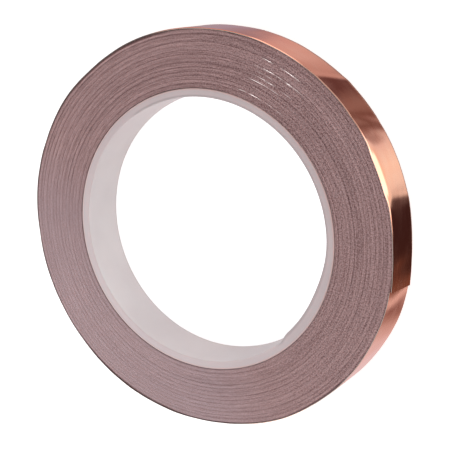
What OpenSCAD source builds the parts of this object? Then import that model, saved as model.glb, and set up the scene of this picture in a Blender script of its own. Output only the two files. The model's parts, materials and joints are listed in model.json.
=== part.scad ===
// Roll of copper foil tape for stained glass work.
//
// The roll lies flat: its axis is Z, its lower face is on z = 0 and the bore's centre is the origin.
// The strip is three layers, from the outside in: copper foil, adhesive, paper release liner.
// Seen from above it is wound so that the free end comes round clockwise and stops on the +X axis.
// The last turn is drawn layer by layer. Its last stretch, the tail, is cut into short links that
// hinge outwards, and at the very end the liner has links of its own, so it can part from the foil.

/* [Core] */
// Bore of the core, which fits a 3 inch spindle
core_bore_d = 76.2; // [70:0.1:80]
// Wall of the core
core_wall = 2.4; // [1.5:0.1:4]
// Rounding of the core's four rims
core_rim_r = 0.3; // [0.1:0.1:0.7]

/* [Roll] */
// Diameter of the full roll
roll_d = 114; // [100:1:140]
// Width of the tape, and of the core
tape_w = 15; // [4:0.5:25]

/* [Strip layers] */
// Thickness of the copper foil
foil_t = 0.035; // [0.025:0.005:0.05]
// Thickness of the adhesive on the foil's inner side
adhesive_t = 0.03; // [0.02:0.005:0.05]
// Thickness of the paper release liner
liner_t = 0.09; // [0.05:0.01:0.15]

/* [Tail] */
// Angle of the roll that one link of the tail covers
link_angle = 12; // [8:1:15]
// Air left under the last turn, which has sprung open a little
slack = 0.05; // [0.02:0.01:0.2]
// How far the cut end is out of square, along the tape
end_skew = 1.5; // [0:0.1:3]

/* [Hidden] */
tail_links = 6;
core_r = core_bore_d / 2 + core_wall;
roll_r = roll_d / 2;
tape_t = foil_t + adhesive_t + liner_t;
turn_rise = tape_t + slack;             // how much the last turn gains on the one below it
tail_angle = tail_links * link_angle;
skew_angle = atan(end_skew / roll_r);   // how far the cut end reaches past +X at the lower face
skew_tilt = atan(end_skew / tape_w);
$fn = 180;

foil_r = [roll_r - foil_t, roll_r];
adhesive_r = [roll_r - foil_t - adhesive_t, roll_r - foil_t];
liner_r = [roll_r - tape_t, roll_r - foil_t - adhesive_t];

foil_nodes = [for (i = [1:tail_links]) str("tail_foil_", i)];
adhesive_nodes = [for (i = [1:tail_links]) str("tail_adhesive_", i)];
liner_nodes = [for (i = [1:tail_links]) str("tail_liner_", i)];

// A band round the Z axis between two radii and two angles, as wide as the tape.
module band(radii, from, to) {
    rotate_extrude(angle = to - from, start = from)
        translate([radii[0], 0])
            square([radii[1] - radii[0], tape_w]);
}

// Half of a disc, as thick as the tape is wide: the half with y > 0, or the other one.
module half_disc(radius, from) {
    rotate_extrude(angle = 180, start = from)
        square([radius, tape_w]);
}

// The last turn up to the tail. A turn is two half rings whose centres are half a rise apart,
// so it closes in by one whole rise each time it comes round to +X.
module last_turn(radii) {
    band(radii, tail_angle, 180);
    translate([-turn_rise / 2, 0, 0])
        band([radii[0] - turn_rise / 2, radii[1] - turn_rise / 2], 180, 360);
}

// One link of the tail. Link 1 is next to the roll, and the last one ends in the skewed cut.
module tail_link(i, radii) {
    near = tail_angle - (i - 1) * link_angle;
    if (i < tail_links)
        band(radii, near - link_angle, near);
    else
        difference() {
            band(radii, -skew_angle, near);
            translate([0, 0, tape_w])
                rotate([-skew_tilt, 0, 0])
                    translate([0, -roll_r, -2 * tape_w])
                        cube([2 * roll_r, roll_r, 3 * tape_w]);
        }
}

module core() {
    color([0.90, 0.86, 0.85])
        rotate_extrude()
            translate([core_bore_d / 2, 0])
                core_profile();
}

// The core's wall with round rims.
module core_profile() {
    for (x = [core_rim_r, core_wall - core_rim_r], y = [core_rim_r, tape_w - core_rim_r])
        translate([x, y])
            circle(r = core_rim_r);
    translate([core_rim_r, 0])
        square([core_wall - 2 * core_rim_r, tape_w]);
    translate([0, core_rim_r])
        square([core_wall, tape_w - 2 * core_rim_r]);
}

// All the turns below the last one, wound tight on the core.
module wound_tape() {
    color([0.60, 0.51, 0.51])
        difference() {
            union() {
                half_disc(roll_r - turn_rise, 0);
                translate([-turn_rise / 2, 0, 0])
                    half_disc(roll_r - 1.5 * turn_rise, 180);
            }
            translate([0, 0, -1])
                cylinder(r = core_r, h = tape_w + 2);
        }
}

module outer_turn_foil() {
    color([0.78, 0.47, 0.37]) last_turn(foil_r);
}

module outer_turn_adhesive() {
    color([0.80, 0.70, 0.55]) last_turn(adhesive_r);
}

module outer_turn_liner() {
    color([0.88, 0.84, 0.80]) last_turn(liner_r);
}

module tail_foil(i) {
    color([0.82, 0.50, 0.39]) tail_link(i, foil_r);
}

module tail_adhesive(i) {
    color([0.80, 0.70, 0.55]) tail_link(i, adhesive_r);
}

module tail_liner(i) {
    color([0.88, 0.84, 0.80]) tail_link(i, liner_r);
}

core();
wound_tape();
outer_turn_foil();
outer_turn_adhesive();
outer_turn_liner();
for (i = [1:tail_links]) {
    tail_foil(i);
    tail_adhesive(i);
    tail_liner(i);
}
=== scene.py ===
# Looks for a roll of copper foil tape that lies flat: a plastic core, a hundred tight turns of foil,
# adhesive and paper liner, and a last turn whose free end stands off a little, in pieces split at a
# row of hinges.
# Lengths are in metres and angles in degrees. Angles run counter-clockwise from +X, seen from above.

import json
import math

import bpy
import numpy as np
from mathutils import Matrix, Vector


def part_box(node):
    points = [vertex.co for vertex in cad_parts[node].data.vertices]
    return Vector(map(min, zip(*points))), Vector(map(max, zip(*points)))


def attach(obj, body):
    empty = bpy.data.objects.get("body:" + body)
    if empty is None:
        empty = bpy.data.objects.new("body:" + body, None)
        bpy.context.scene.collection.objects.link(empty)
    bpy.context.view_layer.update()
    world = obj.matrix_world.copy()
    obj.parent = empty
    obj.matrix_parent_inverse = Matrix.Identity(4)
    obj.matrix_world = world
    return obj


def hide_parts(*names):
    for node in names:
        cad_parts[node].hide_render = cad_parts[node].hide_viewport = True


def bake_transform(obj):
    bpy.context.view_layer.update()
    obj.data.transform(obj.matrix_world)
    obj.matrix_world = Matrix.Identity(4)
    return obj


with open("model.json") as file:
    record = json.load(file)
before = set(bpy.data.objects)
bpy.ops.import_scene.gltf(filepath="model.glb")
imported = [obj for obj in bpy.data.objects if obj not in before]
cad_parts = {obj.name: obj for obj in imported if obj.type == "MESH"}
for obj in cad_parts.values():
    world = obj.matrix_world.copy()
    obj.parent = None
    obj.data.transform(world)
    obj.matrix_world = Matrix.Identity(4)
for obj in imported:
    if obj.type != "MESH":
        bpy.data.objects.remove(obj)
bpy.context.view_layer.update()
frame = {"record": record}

MM = 0.001

# ---------------------------------------------------------------- sizes from the frame

joints = {j["name"]: j for j in frame["record"]["behaviour"]["joints"]}
mounts = {m["name"]: m for m in frame["record"]["mounts"]}


def hinge_radius(name):
    """How far a hinge is from the roll's axis."""
    return math.hypot(*joints[name]["pos_m"][:2])


def hinge_angle(name):
    """Where a hinge is round the roll's axis."""
    return math.degrees(math.atan2(joints[name]["pos_m"][1], joints[name]["pos_m"][0]))


BEND_HINGES = ["tail_lift"] + [f"tail_bend_{i}" for i in range(2, 7)]
PEEL_HINGES = ["liner_peel_5", "liner_peel_6"]
ROLL_R = hinge_radius("tail_lift")
TAPE_T = ROLL_R - hinge_radius("liner_peel_5")
TAPE_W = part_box("wound_tape")[1].z
CORE_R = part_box("core")[1].x
BORE_R = mounts["spindle_bore"]["dims"]["r_mm"] * MM
LAST_TURN_RISE = ROLL_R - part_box("wound_tape")[1].y
END_SKEW = -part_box("tail_foil_6")[0].y

# ---------------------------------------------------------------- sizes of the details

FOIL_T = 0.035 * MM
ADHESIVE_T = 0.030 * MM
LAYERS = {
    "foil": (0, FOIL_T),
    "adhesive": (FOIL_T, FOIL_T + ADHESIVE_T),
    "liner": (FOIL_T + ADHESIVE_T, TAPE_T),
}

# The turns below the last one, the air between the core and the first of them, the points round one
# turn, and the turns where one mesh ends and the next begins.
TURNS = 104
CORE_GAP = 0.03 * MM
COLUMNS = 216
BAND_TURNS = (0, 35, 70, TURNS)

rng = np.random.default_rng(11)


def smooth_step(x, low, high):
    """0 below low, 1 above high, and smooth between them."""
    t = np.clip((x - low) / (high - low), 0, 1)
    return t * t * (3 - 2 * t)


def window(x, low, high, edge):
    """1 from low to high, falling smoothly to 0 over edge outside them."""
    return smooth_step(x, low - edge, low) * (1 - smooth_step(x, high, high + edge))


# ---------------------------------------------------------------- meshes

SHARP_ANGLE = 40


def grid_faces(index):
    """The quads between neighbours in a two-dimensional array of vertex numbers."""
    corners = (index[:-1, :-1], index[1:, :-1], index[1:, 1:], index[:-1, 1:])
    return np.stack(corners, -1).reshape(-1, 4)


def new_piece(name, points, faces, materials, face_materials=None, flat=None, values=None):
    """A mesh object. flat marks faces with hard edges, and values are named numbers at the points."""
    mesh = bpy.data.meshes.new(name)
    mesh.from_pydata(points.tolist(), [], faces.tolist())
    for material in materials:
        mesh.materials.append(material)
    if face_materials is not None:
        mesh.polygons.foreach_set("material_index", face_materials.astype(np.int32))
    smooth = np.ones(len(faces), bool) if flat is None else ~flat
    mesh.polygons.foreach_set("use_smooth", smooth)
    for key, numbers in (values or {}).items():
        attribute = mesh.attributes.new(key, "FLOAT", "POINT")
        attribute.data.foreach_set("value", numbers.astype(np.float32).ravel())
    mesh.set_sharp_from_angle(angle=math.radians(SHARP_ANGLE))
    piece = bpy.data.objects.new(name, mesh)
    bpy.context.scene.collection.objects.link(piece)
    return piece


# ---------------------------------------------------------------- materials


class Nodes:
    """Short names for making the nodes of one material or world."""

    def __init__(self, owner):
        owner.use_nodes = True
        self.tree = owner.node_tree
        self.tree.nodes.clear()

    def add(self, kind, inputs=None, **settings):
        node = self.tree.nodes.new(kind)
        for key, value in settings.items():
            setattr(node, key, value)
        for key, value in (inputs or {}).items():
            if isinstance(value, bpy.types.NodeSocket):
                self.tree.links.new(value, node.inputs[key])
            else:
                node.inputs[key].default_value = value
        return node

    def math(self, operation, *values):
        node = self.add("ShaderNodeMath", dict(enumerate(values)), operation=operation)
        return node.outputs[0]

    def mix(self, share, a, b):
        node = self.add("ShaderNodeMix", {0: share, 6: a, 7: b}, data_type="RGBA")
        return node.outputs[2]

    def spread(self, value, low, high, to_low=0.0, to_high=1.0):
        node = self.add(
            "ShaderNodeMapRange",
            {0: value, 1: low, 2: high, 3: to_low, 4: to_high},
            interpolation_type="SMOOTHSTEP",
        )
        return node.outputs[0]

    def value(self, name):
        return self.add("ShaderNodeAttribute", attribute_name=name).outputs["Fac"]

    def place(self, *scale):
        """The point's own coordinates in millimetres, stretched by scale."""
        point = self.add("ShaderNodeTexCoord").outputs["Object"]
        factors = [x / MM for x in scale]
        node = self.add("ShaderNodeVectorMath", {0: point, 1: factors}, operation="MULTIPLY")
        return node.outputs[0]

    def noise(self, vector, scale, detail=3.0, roughness=0.5):
        inputs = {"Vector": vector, "Scale": scale, "Detail": detail, "Roughness": roughness}
        return self.add("ShaderNodeTexNoise", inputs).outputs["Fac"]

    def bump(self, height, distance, strength=1.0, normal=None):
        inputs = {"Height": height, "Distance": distance, "Strength": strength}
        if normal is not None:
            inputs["Normal"] = normal
        return self.add("ShaderNodeBump", inputs).outputs["Normal"]

    def surface(self, **inputs):
        names = {key.replace("_", " "): value for key, value in inputs.items()}
        shader = self.add("ShaderNodeBsdfPrincipled", names)
        self.add("ShaderNodeOutputMaterial", {"Surface": shader.outputs[0]})


# Where two colours are given, a material varies between them.
COPPER_TINTS = (0.90, 0.43, 0.30, 1), (0.93, 0.50, 0.37, 1)
COPPER_STREAKS = (0.84, 0.38, 0.27, 1)
# Painted shade along the foil's slit edges, as dark and dull copper.
COPPER_PAINTED_SHADE = (0.05, 0.033, 0.031, 1)
ADHESIVE_TINTS = (0.40, 0.19, 0.12, 1), (0.52, 0.27, 0.18, 1)
LINER_TINTS = (0.66, 0.60, 0.54, 1), (0.78, 0.74, 0.68, 1)
# Painted shade on the liner, along its slit edges and at the cut.
LINER_PAINTED_SHADE = (0.09, 0.06, 0.06, 1)
CORE_TINTS = (0.652, 0.60, 0.605, 1), (0.70, 0.65, 0.65, 1)
CORE_BY_THE_TAPE = (0.80, 0.60, 0.565, 1)
CORE_SHADED = (0.16, 0.16, 0.165, 1)
# A painted highlight: the pale colour of the burrs that catch the light.
PAINTED_GLINT_COLOUR = (1.0, 0.88, 0.84, 1)
# Factors of a colour: of the core's on its upper face, for painted warm light, and of the wound tape's
# where a painted sheen makes it look cooler.
PAINTED_TOP_WARM_LIGHT = (1.03, 0.94, 0.935, 1)
PAINTED_SHEEN_TINT = (0.98, 1.10, 1.18)
# How high the bumps of the materials are.
DENT_BUMP = 0.03 * MM
LINE_BUMP = 0.002 * MM
ADHESIVE_BUMP = 0.02 * MM
FIBRE_BUMP = 0.006 * MM
GRIT_BUMP = 0.02 * MM
CORE_BUMP = 0.01 * MM
# Where the core's colour changes: how far in from the tape, and how far below its upper face, which
# gets painted warm light.
CORE_WARM_WIDTH = 0.8 * MM
CORE_TOP_LIGHT_DEPTHS = 0.25 * MM, 0.05 * MM


def strip_place(n, along, across):
    """Coordinates on the tape, along and across it: millimetres, times the two factors."""
    x = n.math("MULTIPLY", n.value("along"), along)
    y = n.math("MULTIPLY", n.value("across"), across)
    return n.add("ShaderNodeCombineXYZ", {0: x, 1: y}).outputs[0]


def copper_material():
    """Bright rolled foil: fine lines along the tape, soft dents, and painted shade, as dark and dull
    copper, where the edge-shade value says so.
    """
    material = bpy.data.materials.new("copper_foil")
    n = Nodes(material)
    clouds = n.noise(strip_place(n, 0.12, 0.18), 1.0, 4)
    streaks = n.noise(strip_place(n, 0.25, 9.0), 1.0, 3)
    tint = n.mix(n.spread(clouds, 0.35, 0.7), *COPPER_TINTS)
    clean = n.mix(n.spread(streaks, 0.45, 0.75, 0, 0.35), tint, COPPER_STREAKS)
    painted_edge_shade = n.value("painted_edge_shade")
    colour = n.mix(painted_edge_shade, clean, COPPER_PAINTED_SHADE)
    metal = n.math("SUBTRACT", 1.0, n.math("MULTIPLY", painted_edge_shade, 0.9))
    gloss = n.math("ADD", n.spread(clouds, 0.3, 0.7, 0.08, 0.14), n.spread(streaks, 0.4, 0.7, 0, 0.03))
    rough = n.math("ADD", gloss, n.math("MULTIPLY", painted_edge_shade, 0.3))
    dents = n.bump(n.noise(strip_place(n, 0.3, 0.45), 1.0, 3, 0.45), DENT_BUMP, 0.5)
    lines = n.bump(n.noise(strip_place(n, 0.4, 14.0), 1.0, 2), LINE_BUMP, 0.6, dents)
    n.surface(Base_Color=colour, Metallic=metal, Roughness=rough, Normal=lines)
    return material


def adhesive_material():
    """Clear tacky coat on the foil, so it looks like darker copper with a wet gloss."""
    material = bpy.data.materials.new("adhesive")
    n = Nodes(material)
    mottle = n.noise(n.place(1, 1, 1), 1.3, 4)
    colour = n.mix(n.spread(mottle, 0.3, 0.7), *ADHESIVE_TINTS)
    normal = n.bump(n.noise(n.place(1, 1, 1), 2.5, 3), ADHESIVE_BUMP, 0.5)
    n.surface(Base_Color=colour, Roughness=n.spread(mottle, 0.3, 0.7, 0.28, 0.4), Normal=normal,
              Metallic=0.35, Coat_Weight=0.4, Coat_Roughness=0.15)
    return material


def liner_material():
    """Coated paper: pale, with a faint mottle of fibres, and painted shade, as dark paper, where the
    edge-shade value says so.
    """
    material = bpy.data.materials.new("liner_paper")
    n = Nodes(material)
    fibres = n.noise(n.place(1, 1, 0.5), 5.0, 6, 0.7)
    colour = n.mix(n.spread(fibres, 0.3, 0.7), *LINER_TINTS)
    colour = n.mix(n.value("painted_edge_shade"), colour, LINER_PAINTED_SHADE)
    normal = n.bump(fibres, FIBRE_BUMP, 0.5)
    n.surface(Base_Color=colour, Roughness=n.spread(fibres, 0.3, 0.7, 0.45, 0.6), Normal=normal)
    return material


def wound_edge_material(name, dark, pale, metallic, rough, ior):
    """The edge of one layer of the wound tape. Its tone says how pale it is, with painted shade in it;
    speckle says how grainy the slit is; a painted sheen makes it look cooler on one stretch; and glint
    marks burrs that shine, with a painted highlight in their colour."""
    material = bpy.data.materials.new(name)
    n = Nodes(material)
    grit = n.noise(n.place(1, 1, 1), 2.4, 4, 0.7)
    grain = n.math("MULTIPLY", n.value("speckle"), n.spread(grit, 0.34, 0.66, -0.5, 0.5))
    # A painted sheen: a cooler, paler colour where the sheen value says so.
    sheen_colour = [x * y for x, y in zip(pale[:3], PAINTED_SHEEN_TINT)]
    pale = n.mix(n.value("painted_sheen"), pale, (*sheen_colour, 1))
    colour = n.mix(n.math("ADD", n.value("tone_and_shade"), grain), dark, pale)
    shine = n.value("glint")
    # Painted highlight on the burrs.
    colour = n.mix(shine, colour, PAINTED_GLINT_COLOUR)
    normal = n.bump(grit, GRIT_BUMP, 0.5)
    matt = n.spread(grit, 0.3, 0.7, rough, rough + 0.15)
    matt = n.math("SUBTRACT", matt, n.math("MULTIPLY", shine, 0.12))
    metal = n.math("MAXIMUM", shine, metallic)
    n.surface(Base_Color=colour, Metallic=metal, Roughness=matt, IOR=ior, Normal=normal)
    return material


def core_material():
    """Milky moulded plastic, warmer where it meets the tape, with painted warm light on its upper face,
    and darker with painted shade where shade says so.
    """
    material = bpy.data.materials.new("core_plastic")
    n = Nodes(material)
    cloud = n.noise(n.place(1, 1, 1), 0.06, 4)
    marks = n.noise(n.place(0.05, 0.05, 3), 1.0, 3)
    point = n.add("ShaderNodeSeparateXYZ", {0: n.place(1, 1, 1)})
    squares = [n.math("POWER", point.outputs[axis], 2.0) for axis in (0, 1)]
    radius = n.math("POWER", n.math("ADD", *squares), 0.5)
    body = n.mix(n.spread(cloud, 0.3, 0.7), *CORE_TINTS)
    rim = n.spread(radius, (CORE_R - CORE_WARM_WIDTH) / MM, CORE_R / MM)
    colour = n.mix(rim, body, CORE_BY_THE_TAPE)
    # Painted warm light on the core's upper face.
    heights = [(TAPE_W - depth) / MM for depth in CORE_TOP_LIGHT_DEPTHS]
    top = n.spread(point.outputs[2], *heights)
    colour = n.add("ShaderNodeMix", {0: top, 6: colour, 7: PAINTED_TOP_WARM_LIGHT}, data_type="RGBA",
                   blend_type="MULTIPLY").outputs[2]
    colour = n.mix(n.math("MULTIPLY", n.value("shade"), 0.4), colour, CORE_SHADED)
    normal = n.bump(marks, CORE_BUMP, 0.5)
    n.surface(Base_Color=colour, Roughness=n.spread(cloud, 0.3, 0.7, 0.38, 0.48), Normal=normal,
              Subsurface_Weight=0.35, Subsurface_Radius=(1.0, 0.75, 0.7), Subsurface_Scale=2.5 * MM)
    return material


COPPER = copper_material()
ADHESIVE = adhesive_material()
LINER = liner_material()
CORE_PLASTIC = core_material()
# The edges of the three layers on the roll's faces.
LINER_EDGE = wound_edge_material(
    "liner_edge", dark=(0.15, 0.06, 0.06, 1), pale=(0.53, 0.362, 0.366, 1), metallic=0.0, rough=0.34,
    ior=1.7,
)
ADHESIVE_EDGE = wound_edge_material(
    "adhesive_edge", dark=(0.09, 0.03, 0.03, 1), pale=(0.29, 0.14, 0.13, 1), metallic=0.0, rough=0.36,
    ior=1.6,
)
FOIL_EDGE = wound_edge_material(
    "foil_edge", dark=(0.22, 0.09, 0.08, 1), pale=(0.59, 0.30, 0.26, 1), metallic=0.6, rough=0.38,
    ior=1.5,
)

# ---------------------------------------------------------------- how the roll is out of true

# A soft roll isn't quite round. Each swell is a stretch of it, in degrees, with the width of its
# two ends, and how far its lower and its upper rim stand out.
SWELLS = [
    (-30, -14, 22, 30, 1.20 * MM, 0.0),
    (-48, -8, 26, 20, 0.10 * MM, 0.72 * MM),
    (155, 180, 18, 18, 0.30 * MM, 0.40 * MM),
]
# Where the upper edge is pressed inwards, so that it leans back and catches the light.
PRESSED_FROM = 28
PRESSED_TO = 36
PRESSED_EDGE = 6
PRESSED_HEIGHT = 2.2 * MM
PRESSED_BEND = 0.6 * MM
PRESSED_SLOPE = math.tan(math.radians(18))


def swell(angle, z):
    """How far the roll's wall stands out from round."""
    out = np.zeros(np.broadcast(angle, z).shape)
    share = np.clip(z / TAPE_W, 0, 1)
    for low, high, low_edge, high_edge, low_rim, high_rim in SWELLS:
        away = (np.asarray(angle) - low + 180) % 360 - 180 + low
        reach = smooth_step(away, low - low_edge, low) * (1 - smooth_step(away, high, high + high_edge))
        out += reach * (low_rim * (1 - share) + high_rim * share)
    return out


def pressed(angle, z):
    """How far the upper edge of the wall is pressed inwards."""
    turned = (np.asarray(angle) + 180) % 360 - 180
    reach = window(turned, PRESSED_FROM, PRESSED_TO, PRESSED_EDGE)
    up = np.clip(z - (TAPE_W - PRESSED_HEIGHT), 0, None)
    bend = np.minimum(up, PRESSED_BEND)
    return PRESSED_SLOPE * reach * (bend ** 2 / (2 * PRESSED_BEND) + up - bend)


# ---------------------------------------------------------------- core


CORE_RIM = 0.3 * MM
RIM_STEPS = 5
CORE_COLUMNS = 288
# Where there are points on a straight side of the core's section, as shares of its length.
CORE_ROWS = (0, 0.03, 0.06, 0.3, 0.5, 0.7, 0.94, 0.97)
# How far the bore is out of round all the way round it.
CORE_WAVE = 0.03 * MM
# Where the core's wall is pressed into the bore at its upper rim: the stretch and its two ends, in
# degrees, how far, and the share of the height that it starts from.
DENT_FROM, DENT_TO = -34, -14
DENT_EDGES = (5, 28)
DENT_DEPTH = 0.85 * MM
DENT_FOOT = 0.2
# Where the bore's upper edge is shaded, and how wide the shade is on the core's end and on its wall, at
# the upper and at the lower edge: full up to the first measure, and gone from the second.
SHADE_FROM, SHADE_TO, SHADE_EDGE = -36, 130, 8
SHADE_ACROSS = 0.25 * MM, 0.8 * MM
SHADE_DOWN = 0.15 * MM, 0.35 * MM
SHADE_UP = 0.3 * MM, 0.7 * MM


def core_outline():
    """The core's section, as points (radius, height) in order round it."""
    inner, outer = BORE_R + CORE_RIM, CORE_R - CORE_RIM
    low, high = CORE_RIM, TAPE_W - CORE_RIM
    points = []
    for x, z, start in ((outer, low, -90), (outer, high, 0), (inner, high, 90), (inner, low, 180)):
        for a in np.radians(np.linspace(start, start + 90, RIM_STEPS + 1)):
            points.append((x + CORE_RIM * math.cos(a), z + CORE_RIM * math.sin(a)))
    return np.array(points)


def core_section():
    """The core's section with more points on its straight sides."""
    outline = core_outline()
    section = []
    for a, b in zip(outline, np.roll(outline, -1, 0)):
        shares = CORE_ROWS if np.hypot(*(b - a)) > 4 * CORE_RIM else (0,)
        section += [a + (b - a) * x for x in shares]
    return np.array(section)


def core_shade(out, height, turned):
    """How shaded the bore's two edges are, by how far a point is out from the bore, and how high."""
    edge = 1 - smooth_step(out, *SHADE_ACROSS)
    upper = edge * smooth_step(height, TAPE_W - SHADE_DOWN[1], TAPE_W - SHADE_DOWN[0])
    lower = edge * (1 - smooth_step(height, *SHADE_UP))
    return lower + upper * window(turned, SHADE_FROM, SHADE_TO, SHADE_EDGE)


def make_core():
    """A turned ring with round rims, pressed in at one place, and very slightly uneven."""
    section = core_section()
    radius, height = section[None, :, 0], section[None, :, 1]
    turn = np.radians(np.arange(CORE_COLUMNS) * 360 / CORE_COLUMNS)[:, None]
    turned = (np.degrees(turn) + 180) % 360 - 180
    shade = core_shade(radius - BORE_R, height, turned)
    inwards = smooth_step(CORE_R - radius, 0.5 * MM, CORE_R - BORE_R - CORE_RIM)
    dent = smooth_step(turned, DENT_FROM - DENT_EDGES[0], DENT_FROM)
    dent = dent * (1 - smooth_step(turned, DENT_TO, DENT_TO + DENT_EDGES[1]))
    dent = DENT_DEPTH * dent * smooth_step(height, DENT_FOOT * TAPE_W, TAPE_W - CORE_RIM)
    radius = radius + (CORE_WAVE * np.sin(3 * turn + 0.6) - dent) * inwards
    height = np.broadcast_to(height, radius.shape)
    points = np.stack([radius * np.cos(turn), radius * np.sin(turn), height], -1)
    index = np.arange(radius.size).reshape(radius.shape)
    index = np.pad(index, ((0, 1), (0, 1)), mode="wrap")
    piece = new_piece("core_ring", points.reshape(-1, 3), grid_faces(index), [CORE_PLASTIC],
                      values={"shade": shade})
    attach(piece, "roll")
    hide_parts("core")


# ---------------------------------------------------------------- wound tape

# Where the points of one turn lie across it, from its inner side, as shares of the turn, and the
# material from each to the next: liner, liner, adhesive, foil, foil.
TURN_ROWS = np.array([0.04, 0.54, 0.66, 0.78, 0.93])
TURN_MATERIALS = np.array([0, 0, 1, 2, 2])
ROWS = len(TURN_ROWS)
# How far the strip's edges lie below the face: as the slit is uneven, the adhesive in the strip, the
# foil as it wanders, a groove every few turns, and the first turns by the core.
EDGE_DROP = 0.034 * MM
ADHESIVE_DROP = 0.018 * MM
FOIL_WANDER = 0.006 * MM
GROOVE_DROP = 0.07 * MM
GROOVE_TURNS = 7.4
CORE_SIDE_DROP = 0.08 * MM
CORE_SIDE_TURNS = 1.6
# The outermost turns are sunk, and darkened with painted shade, on one stretch, and less so elsewhere,
# by the share given.
RIM_TURNS = 2.5
RIM_DROP = 0.30 * MM
RIM_SHARE = 0.12
SUNK_FROM, SUNK_TO, SUNK_EDGE = 95, 318, 22
# How many turns further on the lower face has the unevenness of the upper one.
FACE_SHIFT = 0.31
# Where the lines are even. Elsewhere the slit is grainy.
EVEN_FROM, EVEN_TO, EVEN_EDGE = 120, 290, 45
# Where a painted sheen makes the face look cooler, and where its lines are clearer and fainter than
# elsewhere.
SHEEN_FROM, SHEEN_TO, SHEEN_EDGE = 192, 280, 30
CLEAR_FROM, CLEAR_TO, CLEAR_EDGE, CLEAR_GAIN = 92, 168, 22, 0.5
FAINT_FROM, FAINT_TO, FAINT_EDGE, FAINT_LOSS = 192, 262, 24, 0.45
# Stretches where the outermost turns get painted shade along the outline, with the width of their
# ends, and how many turns from the outside the shade begins and is full.
OUTLINE_SHADE_STRETCHES = [(120, 142, 14), (238, 264, 14), (314, 326, 8)]
OUTLINE_SHADE_BEGINS, OUTLINE_SHADE_FULL = 4.4, 3.2
# How pale the strip's edge is, the middle that its contrast is measured from, and how much each thing
# adds to it or takes away. What the grooves, the first turns by the core, the sunk outer turns and the
# outline take away is painted shade.
TONE = 0.60
TONE_MIDDLE = 0.56
GRIT_TONE = 0.13
FINE_TONE, EVEN_FINE_TONE = 0.15, 0.07
LINE_TONE = 0.12
GROOVE_SHADE, EVEN_GROOVE_SHADE = 0.34, 0.14
CORE_SIDE_SHADE = 0.2
SUNK_SHADE = 0.32
OUTLINE_SHADE_TONE = 0.75
# How grainy the slit is at least, and how much more where it is grainy.
SPECKLE, MORE_SPECKLE = 0.34, 0.66
# How fast the roll's swells and its pressed edge die away inside the roll, as powers.
SWELL_POWER, PRESSED_POWER = 2, 24
# Bright burrs, which catch the light and have a painted highlight in their pale colour: how many, where
# they start and how long they are in degrees, the turns that they are on, how wide they are in turns,
# and the slope that they catch the light with.
GLINTS = 30
GLINT_ANGLES = (63, 78)
GLINT_LENGTH = (1.5, 8.0)
GLINT_TURNS = np.array([12, 20, 20, 37, 45, 45, 46, 54, 62, 62, 63, 79])
GLINT_WIDTH = 0.95
BURR_SLOPE = 0.30


class StripNoise:
    """Smooth random values from -1 to 1 along the whole strip, as a function of the turn number."""

    def __init__(self, spacing):
        self.spacing = spacing
        self.knots = rng.uniform(-1, 1, int((TURNS + 2) / spacing) + 2)

    def __call__(self, turn):
        place = turn / self.spacing
        low = np.floor(place).astype(int)
        share = smooth_step(place - low, 0, 1)
        return self.knots[low] * (1 - share) + self.knots[low + 1] * share


# Their spacings are in turns.
SLOW = StripNoise(0.37)
MIDDLE = StripNoise(0.09)
FINE = StripNoise(0.021)
GRIT = StripNoise(1 / COLUMNS)
LINES = StripNoise(1.6)
GROOVE_DRIFT = StripNoise(6.0)
# What the unevenness of the slit is made of, and in which shares.
WANDER = ((0.35, SLOW), (0.3, MIDDLE), (0.35, FINE))


def groove(turn):
    """1 in the middle of a groove, which comes every few turns, and 0 between grooves."""
    phase = turn / GROOVE_TURNS + 0.12 * GROOVE_DRIFT(turn)
    return np.clip(np.cos(2 * math.pi * phase), 0, 1) ** 4


def evenness(angle):
    """1 where the wound lines are even, 0 where the slit is grainy."""
    return window(np.asarray(angle) % 360, EVEN_FROM, EVEN_TO, EVEN_EDGE)


def sunk(angle):
    """How much of the outermost turns' drop and painted shade there is: all of it on the far side of
    the roll.
    """
    return RIM_SHARE + (1 - RIM_SHARE) * window(np.asarray(angle) % 360, SUNK_FROM, SUNK_TO, SUNK_EDGE)


def outline_shade(angle):
    """How much painted shade the outermost turns get along the outline."""
    return sum(window(np.asarray(angle) % 360, *stretch) for stretch in OUTLINE_SHADE_STRETCHES)


def faintness(angle):
    """How much of the lines' strength is lost, as a share."""
    return FAINT_LOSS * window(np.asarray(angle) % 360, FAINT_FROM, FAINT_TO, FAINT_EDGE)


def wound_heights(turn, row, side, angle):
    """How far the edge of the strip lies below the face, which is the upper one where side is 1."""
    shift = FACE_SHIFT * side
    wander = sum(share * noise(turn + shift) for share, noise in WANDER)
    faint = faintness(angle)
    drop = EDGE_DROP * (0.5 + 0.45 * wander * (1 - faint))
    strength = 0.6 + 0.4 * SLOW(turn + shift + 0.5)
    drop = drop + GROOVE_DROP * groove(turn + shift) * strength * (1 - faint)
    drop = drop + np.where(row == 2, ADHESIVE_DROP, 0)
    drop = drop + np.where(row >= 3, FOIL_WANDER * MIDDLE(turn), 0)
    drop = drop + CORE_SIDE_DROP * (1 - smooth_step(turn, 0, CORE_SIDE_TURNS))
    return drop + RIM_DROP * sunk(angle) * smooth_step(turn, TURNS - RIM_TURNS, TURNS)


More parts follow.
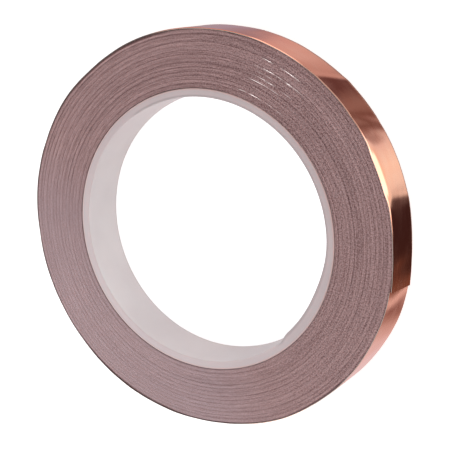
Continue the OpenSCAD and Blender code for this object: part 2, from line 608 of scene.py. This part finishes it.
def wound_tones_and_shade(turn, angle):
    """How pale the strip's edge is, less painted shade in the grooves, by the core, on the sunk outer
    turns and along the outline. Below 0 it is as dark as it gets, even with some grain on it.
    """
    even = evenness(angle)
    tone_and_shade = TONE + GRIT_TONE * GRIT(turn) + (FINE_TONE - EVEN_FINE_TONE * even) * FINE(turn)
    tone_and_shade = tone_and_shade + LINE_TONE * LINES(turn)
    broken = even + (1 - even) * smooth_step(MIDDLE(turn + 0.3) + 0.5 * FINE(turn), -0.8, 0.5)
    # Painted shade in the grooves.
    tone_and_shade = tone_and_shade - (GROOVE_SHADE - EVEN_GROOVE_SHADE * even) * groove(turn) * broken
    contrast = 1 + CLEAR_GAIN * window(angle, CLEAR_FROM, CLEAR_TO, CLEAR_EDGE)
    contrast = contrast - faintness(angle)
    tone_and_shade = TONE_MIDDLE + (tone_and_shade - TONE_MIDDLE) * contrast
    # Painted shade on the first turns by the core.
    tone_and_shade = tone_and_shade - CORE_SIDE_SHADE * (1 - smooth_step(turn, 0.3, 1.8))
    outer = smooth_step(turn, TURNS - RIM_TURNS, TURNS)
    # Painted shade on the sunk outer turns.
    tone_and_shade = tone_and_shade - SUNK_SHADE * sunk(angle) * outer
    # Painted shade along the outline of the face.
    tone_and_shade = tone_and_shade - OUTLINE_SHADE_TONE * outline_shade(angle) * smooth_step(turn, TURNS - OUTLINE_SHADE_BEGINS, TURNS - OUTLINE_SHADE_FULL)
    return np.clip(tone_and_shade, -0.25, 1.0)


GLINT_STARTS = rng.uniform(*GLINT_ANGLES, GLINTS)
GLINT_LENGTHS = rng.uniform(*GLINT_LENGTH, GLINTS)
GLINT_PLACES = GLINT_TURNS[rng.uniform(0, len(GLINT_TURNS), GLINTS).astype(int)]
GLINT_POWERS = rng.uniform(0.5, 1.0, GLINTS) ** 2


def wound_glints(turn, angle):
    """Up to 1 on the burrs that shine: short arcs, one turn wide."""
    shine = np.zeros(turn.shape)
    for start, length, place, power in zip(GLINT_STARTS, GLINT_LENGTHS, GLINT_PLACES, GLINT_POWERS):
        near = window(angle, start, start + length, 0.8)
        near = near * window(turn, place, place + GLINT_WIDTH, 0.15)
        shine = np.maximum(shine, power * near)
    return shine * smooth_step(GRIT(turn), -0.7, 0.1)


def make_windings(name, first, last):
    """One band of the wound strip, from one turn to another, as a closed spiral solid."""
    # k counts the rows of points outwards, ROWS to a turn, and j counts the columns round a turn. The
    # last column of a turn is the first one of the next turn, except where the band ends.
    rows = ROWS * (last - first)
    k, j = np.meshgrid(np.arange(rows + 1), np.arange(COLUMNS + 1), indexing="ij")
    row = k % ROWS
    turn = first + k // ROWS + j / COLUMNS
    inner = CORE_R + CORE_GAP
    pitch = (ROLL_R - LAST_TURN_RISE - TAPE_T - inner) / TURNS
    share = TURN_ROWS[row]
    share = np.where((k == 0) | (k == rows), 0.0, share)
    radius = inner + pitch * (turn + share)
    angle = -2 * math.pi * j / COLUMNS
    around = np.degrees(angle) % 360
    faces, points, kinds, flat = [], [], [], []
    new = np.ones(k.shape, bool)
    new[: rows + 1 - ROWS, -1] = False
    index = np.zeros(k.shape, int)
    index[new] = np.arange(new.sum())
    index[: rows + 1 - ROWS, -1] = index[ROWS:, 0]
    count = new.sum()
    tone_and_shade = wound_tones_and_shade(turn, around)
    glint = wound_glints(turn, around)
    speckle = SPECKLE + MORE_SPECKLE * (1 - evenness(around))
    outwards = np.clip((radius - inner) / (pitch * TURNS), 0, 1)
    for side in (0, 1):
        drop = wound_heights(turn, row, side, around)
        if side:
            drop = drop - glint * BURR_SLOPE * pitch * (share - 0.5)
        height = TAPE_W - drop if side else drop
        push = outwards ** SWELL_POWER * swell(around, height)
        push = push - outwards ** PRESSED_POWER * pressed(around, height)
        x, y = (radius + push) * np.cos(angle), (radius + push) * np.sin(angle)
        points.append(np.stack([x[new], y[new], height[new]], -1))
        quads = grid_faces(index) + side * count
        faces.append(quads if side == 0 else quads[:, ::-1])
        kinds.append(np.repeat(TURN_MATERIALS[np.arange(rows) % ROWS], COLUMNS))
        flat.append(np.ones(len(quads), bool))

    def wall(line, kind, reverse):
        """The upright faces along a line of vertex numbers. kind is their material's number."""
        upright = grid_faces(np.stack([line, line + count], -1))
        faces.append(upright[:, ::-1] if reverse else upright)
        kinds.append(np.full(len(upright), kind))
        flat.append(np.zeros(len(upright), bool))

    wall(index[0], 0, False)
    wall(index[rows], 3, True)
    wall(index[: ROWS + 1, 0], 2, True)
    wall(index[rows - ROWS:, -1], 2, False)
    all_points = np.concatenate(points)
    turned = np.arctan2(all_points[:, 1], all_points[:, 0]) % (2 * math.pi)
    values = {
        # Tone, with painted shade in it.
        "tone_and_shade": np.tile(tone_and_shade[new], 2),
        "speckle": np.tile(speckle[new], 2),
        "glint": np.concatenate([0 * glint[new], glint[new]]),
        # Where the face gets a painted sheen.
        "painted_sheen": np.tile(window(around, SHEEN_FROM, SHEEN_TO, SHEEN_EDGE)[new], 2),
        "along": turned * ROLL_R / MM,
        "across": all_points[:, 2] / MM,
    }
    piece = new_piece(
        name, all_points, np.concatenate(faces), [LINER_EDGE, ADHESIVE_EDGE, FOIL_EDGE, COPPER],
        np.concatenate(kinds), np.concatenate(flat), values,
    )
    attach(piece, "roll")
    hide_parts("wound_tape")


# ---------------------------------------------------------------- last turn and tail

# Degrees between two columns of points.
STEP = 0.5
# Where the last turn leaves the piece that stays on the roll, and where its first bend begins: a
# little nearer its hinge, so that it doesn't dip into the turn below.
LINK = hinge_angle("tail_lift") - hinge_angle("tail_bend_2")
ROLL_END = hinge_angle("tail_lift") + LINK / 2
# Gentle waves: how many, their lengths in degrees, how they lie and lean, and how steep they are.
WAVES = 12
WAVE_LENGTH = np.geomspace(5, 45, WAVES)
WAVE_PHASE = rng.uniform(0, 2 * math.pi, WAVES)
WAVE_SKEW = rng.uniform(-0.3, 0.3, WAVES) / MM
WAVE_SLOPE = 0.016
# How far the slit edges are rolled inwards: the upper one, how much more it is on the far side and
# where that begins, and the lower one. Then the stretch where the upper one is rolled, and how far
# from its edge each curl begins and is full. A full measure below 0 lies past the edge.
UPPER_CURL = 0.15 * MM
FAR_CURL = 0.20 * MM
FAR_CURL_FROM, FAR_CURL_TO = 100, 125
LOWER_CURL = 0.10 * MM
CURL_STRETCH = (18, 226, 18)
UPPER_CURL_REACH = 0.30 * MM, -0.06 * MM
LOWER_CURL_REACH = 0.30 * MM, -0.10 * MM
# Where the slit edges get painted shade, as stretches in degrees with the width of their ends: the
# upper one on the far side, the upper one between two creases (half as much), and the lower one widely
# and narrowly. Then how strong the lower one is, and the reach of each, as for the curl.
FAR_EDGE_SHADE = (118, 288, 12)
CREASE_EDGE_SHADE = (46, 66, 5)
WIDE_LOWER_EDGE_SHADE = (52, 104, 10)
NARROW_LOWER_EDGE_SHADE = (14, 52, 10)
LOWER_EDGE_SHADE_STRENGTH = 0.7
UPPER_EDGE_SHADE_REACH = 0.42 * MM, 0.28 * MM
WIDE_EDGE_SHADE_REACH = 1.5 * MM, 0.4 * MM
NARROW_EDGE_SHADE_REACH = 0.8 * MM, 0.4 * MM
# How far from the cut the liner and the adhesive get a painted shadow, in degrees.
CUT_SHADE = 0.5
# How far the free end stands off, and from how many degrees before it.
END_LIFT = 0.24 * MM
END_LIFT_REACH = 7


def tape_heights():
    """Heights of the rows of points across the tape, closer together at its two edges."""
    edge = np.array([0, 0.05, 0.12, 0.2, 0.3, 0.45, 0.7, 1.1, 1.6]) * MM
    middle = np.linspace(2.4 * MM, TAPE_W - 2.4 * MM, 10)
    return np.concatenate([edge, middle, TAPE_W - edge[::-1]])


def waviness(angle, z):
    """Gentle waves of the loose last turn."""
    rise = np.zeros(np.broadcast(angle, z).shape)
    for length, phase, skew in zip(WAVE_LENGTH, WAVE_PHASE, WAVE_SKEW):
        reach = math.radians(length) * ROLL_R
        height = WAVE_SLOPE * reach / (2 * math.pi) / math.sqrt(WAVES)
        rise += height * np.sin(2 * math.pi * angle / length + phase + skew * z)
    return rise


# Soft creases of the foil: where each one crosses the lower edge, how far round it runs on its way
# up, its half width and its depth.
CREASES = [
    (59.0, 4.0, 1.6 * MM, 0.100 * MM),
    (44.5, 4.0, 1.5 * MM, -0.080 * MM),
    (23.5, 1.6, 1.2 * MM, 0.030 * MM),
    (89.0, -5.0, 2.2 * MM, 0.030 * MM),
    (345.0, 9.0, 1.6 * MM, -0.020 * MM),
    (337.0, 5.0, 1.8 * MM, 0.020 * MM),
]
# And more of them on the far side, at random.
for _ in range(14):
    CREASES.append((rng.uniform(105, 320), rng.uniform(-6, 6), rng.uniform(1, 2.5) * MM,
                    rng.uniform(-0.03, 0.03) * MM))


def creases(angle, z):
    """How far the soft creases raise the foil."""
    rise = np.zeros(np.broadcast(angle, z).shape)
    for start, run, half, depth in CREASES:
        away = np.radians(angle - start - run * z / TAPE_W) * ROLL_R
        rise += depth * np.exp(-(away / half) ** 2)
    return rise


def near_upper(z, begins, full):
    """1 at the tape's upper edge and 0 away from it. begins and full are measured from the edge."""
    return smooth_step(z, TAPE_W - begins, TAPE_W - full)


def near_lower(z, begins, full):
    """The same for the lower edge."""
    return smooth_step(-z, -begins, -full)


def edge_curl(angle, z):
    """How far the two slit edges are rolled inwards."""
    depth = UPPER_CURL + FAR_CURL * smooth_step(angle, FAR_CURL_FROM, FAR_CURL_TO)
    top = near_upper(z, *UPPER_CURL_REACH) * window(angle, *CURL_STRETCH)
    return depth * top + LOWER_CURL * near_lower(z, *LOWER_CURL_REACH)


def painted_edge_shading(angle, z, layer):
    """How much painted shade the slit edges get, and the painted shadow at the cut of the liner and the
    adhesive.
    """
    where = window(angle, *FAR_EDGE_SHADE) + 0.5 * window(angle, *CREASE_EDGE_SHADE)
    top = near_upper(z, *UPPER_EDGE_SHADE_REACH) * where
    wide = near_lower(z, *WIDE_EDGE_SHADE_REACH) * window(angle, *WIDE_LOWER_EDGE_SHADE)
    narrow = near_lower(z, *NARROW_EDGE_SHADE_REACH) * window(angle, *NARROW_LOWER_EDGE_SHADE)
    painted_edge_shade = np.maximum(top, LOWER_EDGE_SHADE_STRENGTH * np.maximum(wide, narrow))
    if layer != "foil":
        painted_edge_shade = np.maximum(painted_edge_shade, 1 - smooth_step(angle - end_angle(z), CUT_SHADE / 2, CUT_SHADE))
    return painted_edge_shade


def end_lift(angle):
    """The free end bends away from the turn below."""
    return END_LIFT * (np.clip(END_LIFT_REACH - angle, 0, None) / END_LIFT_REACH) ** 2


def tape_points(angle, z, depth):
    """Points of the last turn, at a depth below the foil's outer side. As in the CAD, the far half of
    the turn has its own centre, and closes in by half of the turn's rise."""
    rise = waviness(angle, z) + creases(angle, z) + swell(angle, z) + end_lift(angle)
    rise = rise - edge_curl(angle, z) - pressed(angle, z)
    far_half = angle > 180
    centre_x = np.where(far_half, -LAST_TURN_RISE / 2, 0)
    radius = ROLL_R - np.where(far_half, LAST_TURN_RISE / 2, 0) + rise - depth
    a = np.radians(angle)
    return np.stack([centre_x + radius * np.cos(a), radius * np.sin(a), z + 0 * a], -1)


def end_angle(z):
    """Where the skewed cut is, at each height."""
    return np.degrees(np.arcsin(-END_SKEW * (1 - z / TAPE_W) / ROLL_R))


def make_layer(name, layer, low, high, cut=False):
    """One layer of the last turn between two angles, as a closed thin solid. With cut, it starts from
    the skewed cut instead of from the low angle."""
    z = tape_heights()
    columns = max(2, int(round((high - low) / STEP))) + 1
    share = np.linspace(0, 1, columns)[:, None]
    start = end_angle(z)[None, :] if cut else np.full((1, len(z)), low)
    angle = start + (high - start) * share
    height = np.broadcast_to(z, angle.shape)
    outer, inner = (tape_points(angle, height, depth) for depth in LAYERS[layer])
    points = np.concatenate([outer, inner[:, ::-1]], 1)
    around = points.shape[1]
    index = np.arange(columns * around).reshape(columns, around)
    ring = np.concatenate([index, index[:, :1]], 1)
    sides = grid_faces(ring)
    outer_index, inner_index = index[:, : len(z)], index[:, len(z):][:, ::-1]
    first = grid_faces(np.stack([inner_index[0], outer_index[0]]))
    last = grid_faces(np.stack([outer_index[-1], inner_index[-1]]))
    faces = np.concatenate([sides, first, last])
    flat = np.zeros(len(faces), bool)
    slit = np.zeros(ring.shape[1] - 1, bool)
    slit[[len(z) - 1, around - 1]] = True
    flat[: len(sides)] = np.tile(slit, columns - 1)
    flat[len(sides):] = True
    material = {"foil": COPPER, "adhesive": ADHESIVE, "liner": LINER}[layer]
    strip_angle = np.concatenate([angle, angle[:, ::-1]], 1)
    strip_height = points[..., 2]
    values = {
        "along": strip_angle * math.radians(1) * ROLL_R / MM,
        "across": strip_height / MM,
        # Painted shade along the slit edges, and a painted shadow at the cut.
        "painted_edge_shade": painted_edge_shading(strip_angle, strip_height, layer),
    }
    piece = new_piece(name, points.reshape(-1, 3), faces, [material], None, flat, values)
    return piece


def bend_over(piece):
    """Bakes the piece's transform into its mesh."""
    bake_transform(piece)


def make_peel_point(low, high):
    """The liner on both sides of the hinge where it leaves the foil, as two pieces that meet at the
    hinge."""
    middle = hinge_angle(PEEL_HINGES[0])
    piece = make_layer("liner_bend_5", "liner", middle, high)
    bend_over(piece)
    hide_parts("tail_liner_5")
    piece = make_layer("liner_peel", "liner", low, middle)
    bend_over(piece)
    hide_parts("tail_liner_5")


def make_last_turn(layer):
    """One layer of the last turn: the part that stays on the roll, the bends, and the free end."""
    piece = make_layer(f"last_turn_{layer}", layer, ROLL_END, 360)
    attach(piece, "roll")
    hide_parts(f"outer_turn_{layer}")
    high = ROLL_END
    for number, hinge in enumerate(BEND_HINGES, 1):
        low = hinge_angle(hinge) - LINK / 2
        if layer == "liner" and number == 5:
            make_peel_point(low, high)
        else:
            piece = make_layer(f"{layer}_bend_{number}", layer, low, high)
            if layer == "liner" and number == 6:
                hinge = PEEL_HINGES[1]
            bend_over(piece)
            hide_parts(f"tail_{layer}_{number}")
        high = low
    piece = make_layer(f"{layer}_end", layer, 0, high, cut=True)
    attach(piece, "liner_6" if layer == "liner" else "tail_6")
    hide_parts(f"tail_{layer}_6")


# ---------------------------------------------------------------- stage, light and camera


FLOOR_HALF = 8.0
FLOOR_GLOW = 0.65


def make_floor():
    """A plain white table, which glows a little, so that the shadow on it stays faint."""
    material = bpy.data.materials.new("floor")
    n = Nodes(material)
    n.surface(Base_Color=(0.9, 0.9, 0.9, 1), Roughness=0.9, Specular_IOR_Level=0.0,
              Emission_Color=(1, 1, 1, 1), Emission_Strength=FLOOR_GLOW)
    corners = FLOOR_HALF * np.array([(-1, -1, 0), (1, -1, 0), (1, 1, 0), (-1, 1, 0)])
    floor = new_piece("floor", corners, np.array([[0, 1, 2, 3]]), [material])
    floor.visible_glossy = False


# What the roll's shiny wall mirrors: the light that comes from below the table's edge, as it
# changes round the roll. Each stop is a direction in degrees and a colour.
MIRRORED = [
    (-170, (0.42, 0.35, 0.37)),
    (-135, (0.58, 0.44, 0.44)),
    (-115, (0.80, 0.60, 0.60)),
    (-93, (0.84, 0.66, 0.68)),
    (-82, (0.80, 0.61, 0.60)),
    (-75, (0.72, 0.52, 0.49)),
    (-70, (0.60, 0.41, 0.37)),
    (-65, (0.45, 0.28, 0.24)),
    (-60, (0.27, 0.14, 0.12)),
    (-57, (0.27, 0.15, 0.135)),
    (-52, (0.76, 0.58, 0.54)),
    (-46, (0.85, 0.68, 0.64)),
    (-42, (0.22, 0.10, 0.07)),
    (-36, (0.21, 0.09, 0.055)),
    (-31, (0.07, 0.032, 0.025)),
    (-23, (0.045, 0.02, 0.018)),
    (-3, (0.048, 0.022, 0.022)),
    (4, (0.18, 0.14, 0.14)),
    (11, (1.00, 0.96, 0.88)),
    (28, (1.10, 1.08, 0.96)),
    (46, (0.90, 0.84, 0.82)),
    (53, (0.30, 0.19, 0.18)),
    (61, (0.19, 0.105, 0.09)),
    (70, (0.32, 0.22, 0.20)),
    (78, (0.26, 0.17, 0.155)),
    (86, (0.13, 0.065, 0.065)),
    (94, (0.16, 0.09, 0.09)),
    (105, (0.58, 0.42, 0.39)),
    (125, (0.73, 0.54, 0.50)),
    (141, (0.67, 0.43, 0.40)),
    (154, (0.38, 0.26, 0.28)),
    (178, (0.42, 0.35, 0.43)),
]
# A bright card at the table's edge, which only an edge that leans back can mirror: the middle and
# half width of it in degrees, the sines of its elevations, and its brightness.
CARD_MIDDLE = 60
CARD_HALF = 56
CARD_LOW = -0.74
CARD_HIGH = -0.52
CARD_GLOW = 1.4
# Colours straight below, at the table's edge and a little above it, and overhead.
STRAIGHT_BELOW = (0.10, 0.05, 0.04, 1)
STUDIO_WALLS = (0.92, 0.90, 0.90, 1)
STUDIO_CEILING = (0.34, 0.33, 0.335, 1)


def make_world():
    """A studio of pale walls above the table's edge, and of cards and dark gaps below it. parts[2] is
    the sine of a direction's elevation."""
    world = bpy.data.worlds.new("studio")
    bpy.context.scene.world = world
    n = Nodes(world)
    direction = n.add("ShaderNodeTexCoord").outputs["Generated"]
    parts = n.add("ShaderNodeSeparateXYZ", {0: direction}).outputs
    azimuth = n.math("MULTIPLY", n.math("ARCTAN2", parts[1], parts[0]), math.degrees(1))
    share = n.math("DIVIDE", n.math("ADD", azimuth, 180.0), 360.0)
    cards = n.add("ShaderNodeValToRGB", {0: share})
    ramp = cards.color_ramp
    ramp.elements.remove(ramp.elements[-1])
    for number, (place, colour) in enumerate(MIRRORED):
        position = (place + 180) / 360
        stop = ramp.elements[0] if number == 0 else ramp.elements.new(position)
        stop.position = position
        stop.color = (*colour, 1)
    low = n.mix(n.spread(parts[2], -0.995, -0.95), STRAIGHT_BELOW, cards.outputs[0])
    high = n.mix(n.spread(parts[2], 0.25, 0.75), STUDIO_WALLS, STUDIO_CEILING)
    turned = n.math("ABSOLUTE", n.math("SUBTRACT", azimuth, float(CARD_MIDDLE)))
    beside = n.spread(turned, CARD_HALF - 8, CARD_HALF, CARD_GLOW, 0.0)
    glow = n.math("MULTIPLY", n.spread(parts[2], CARD_LOW, CARD_HIGH), beside)
    glow = n.math("MULTIPLY", glow, n.spread(parts[2], 0.0, 0.3, 1.0, 0.0))
    lit = n.add("ShaderNodeVectorMath", {0: low, 1: glow}, operation="ADD").outputs[0]
    colour = n.mix(n.spread(parts[2], -0.25, 0.08), lit, high)
    background = n.add("ShaderNodeBackground", {"Color": colour, "Strength": 1.0})
    n.add("ShaderNodeOutputWorld", {"Surface": background.outputs[0]})


def area_light(name, place, aim, size, power, colour=(1, 1, 1)):
    """A soft square light at place, which points at aim."""
    data = bpy.data.lights.new(name, "AREA")
    data.size = size
    data.energy = power
    data.color = colour
    light = bpy.data.objects.new(name, data)
    light.location = place
    light.rotation_mode = "QUATERNION"
    light.rotation_quaternion = (Vector(aim) - Vector(place)).to_track_quat("-Z", "Y")
    light.visible_camera = False
    bpy.context.scene.collection.objects.link(light)


# Found by fitting the roll's four rims to the photo.
CAMERA_AZIMUTH = 127.23
CAMERA_ELEVATION = 59.30
CAMERA_ROLL = -113.86
CAMERA_DISTANCE = 315.4 * MM
CAMERA_TARGET = Vector((7.03 * MM, 4.18 * MM, TAPE_W))
CAMERA_LENS = 90.66


def make_camera():
    """The camera looks down at the upper face, turned about its own axis so that the roll leans."""
    a, e = math.radians(CAMERA_AZIMUTH), math.radians(CAMERA_ELEVATION)
    back = Vector((math.sin(a) * math.cos(e), -math.cos(a) * math.cos(e), math.sin(e)))
    data = bpy.data.cameras.new("camera")
    data.lens = CAMERA_LENS
    data.clip_start = 10 * MM
    camera = bpy.data.objects.new("camera", data)
    level = (-back).to_track_quat("-Z", "Y").to_matrix().to_4x4()
    roll = Matrix.Rotation(math.radians(CAMERA_ROLL), 4, "Z")
    camera.matrix_world = Matrix.Translation(CAMERA_TARGET + back * CAMERA_DISTANCE) @ level @ roll
    bpy.context.scene.collection.objects.link(camera)
    bpy.context.scene.camera = camera


make_camera()
make_world()
make_floor()
area_light("front_softbox", place=(-0.165, -0.175, 0.22), aim=(-0.02, -0.03, 0), size=0.20, power=0.38,
           colour=(0.96, 1.0, 1.04))
area_light("edge_light", place=(0.38, 0.27, 0.13), aim=(0, 0, 0.01), size=0.26, power=0.35)
bpy.context.scene.view_settings.view_transform = "Standard"

make_core()
for number, name in enumerate(("windings_inner", "windings_middle", "windings_outer")):
    make_windings(name, BAND_TURNS[number], BAND_TURNS[number + 1])
for layer in LAYERS:
    make_last_turn(layer)
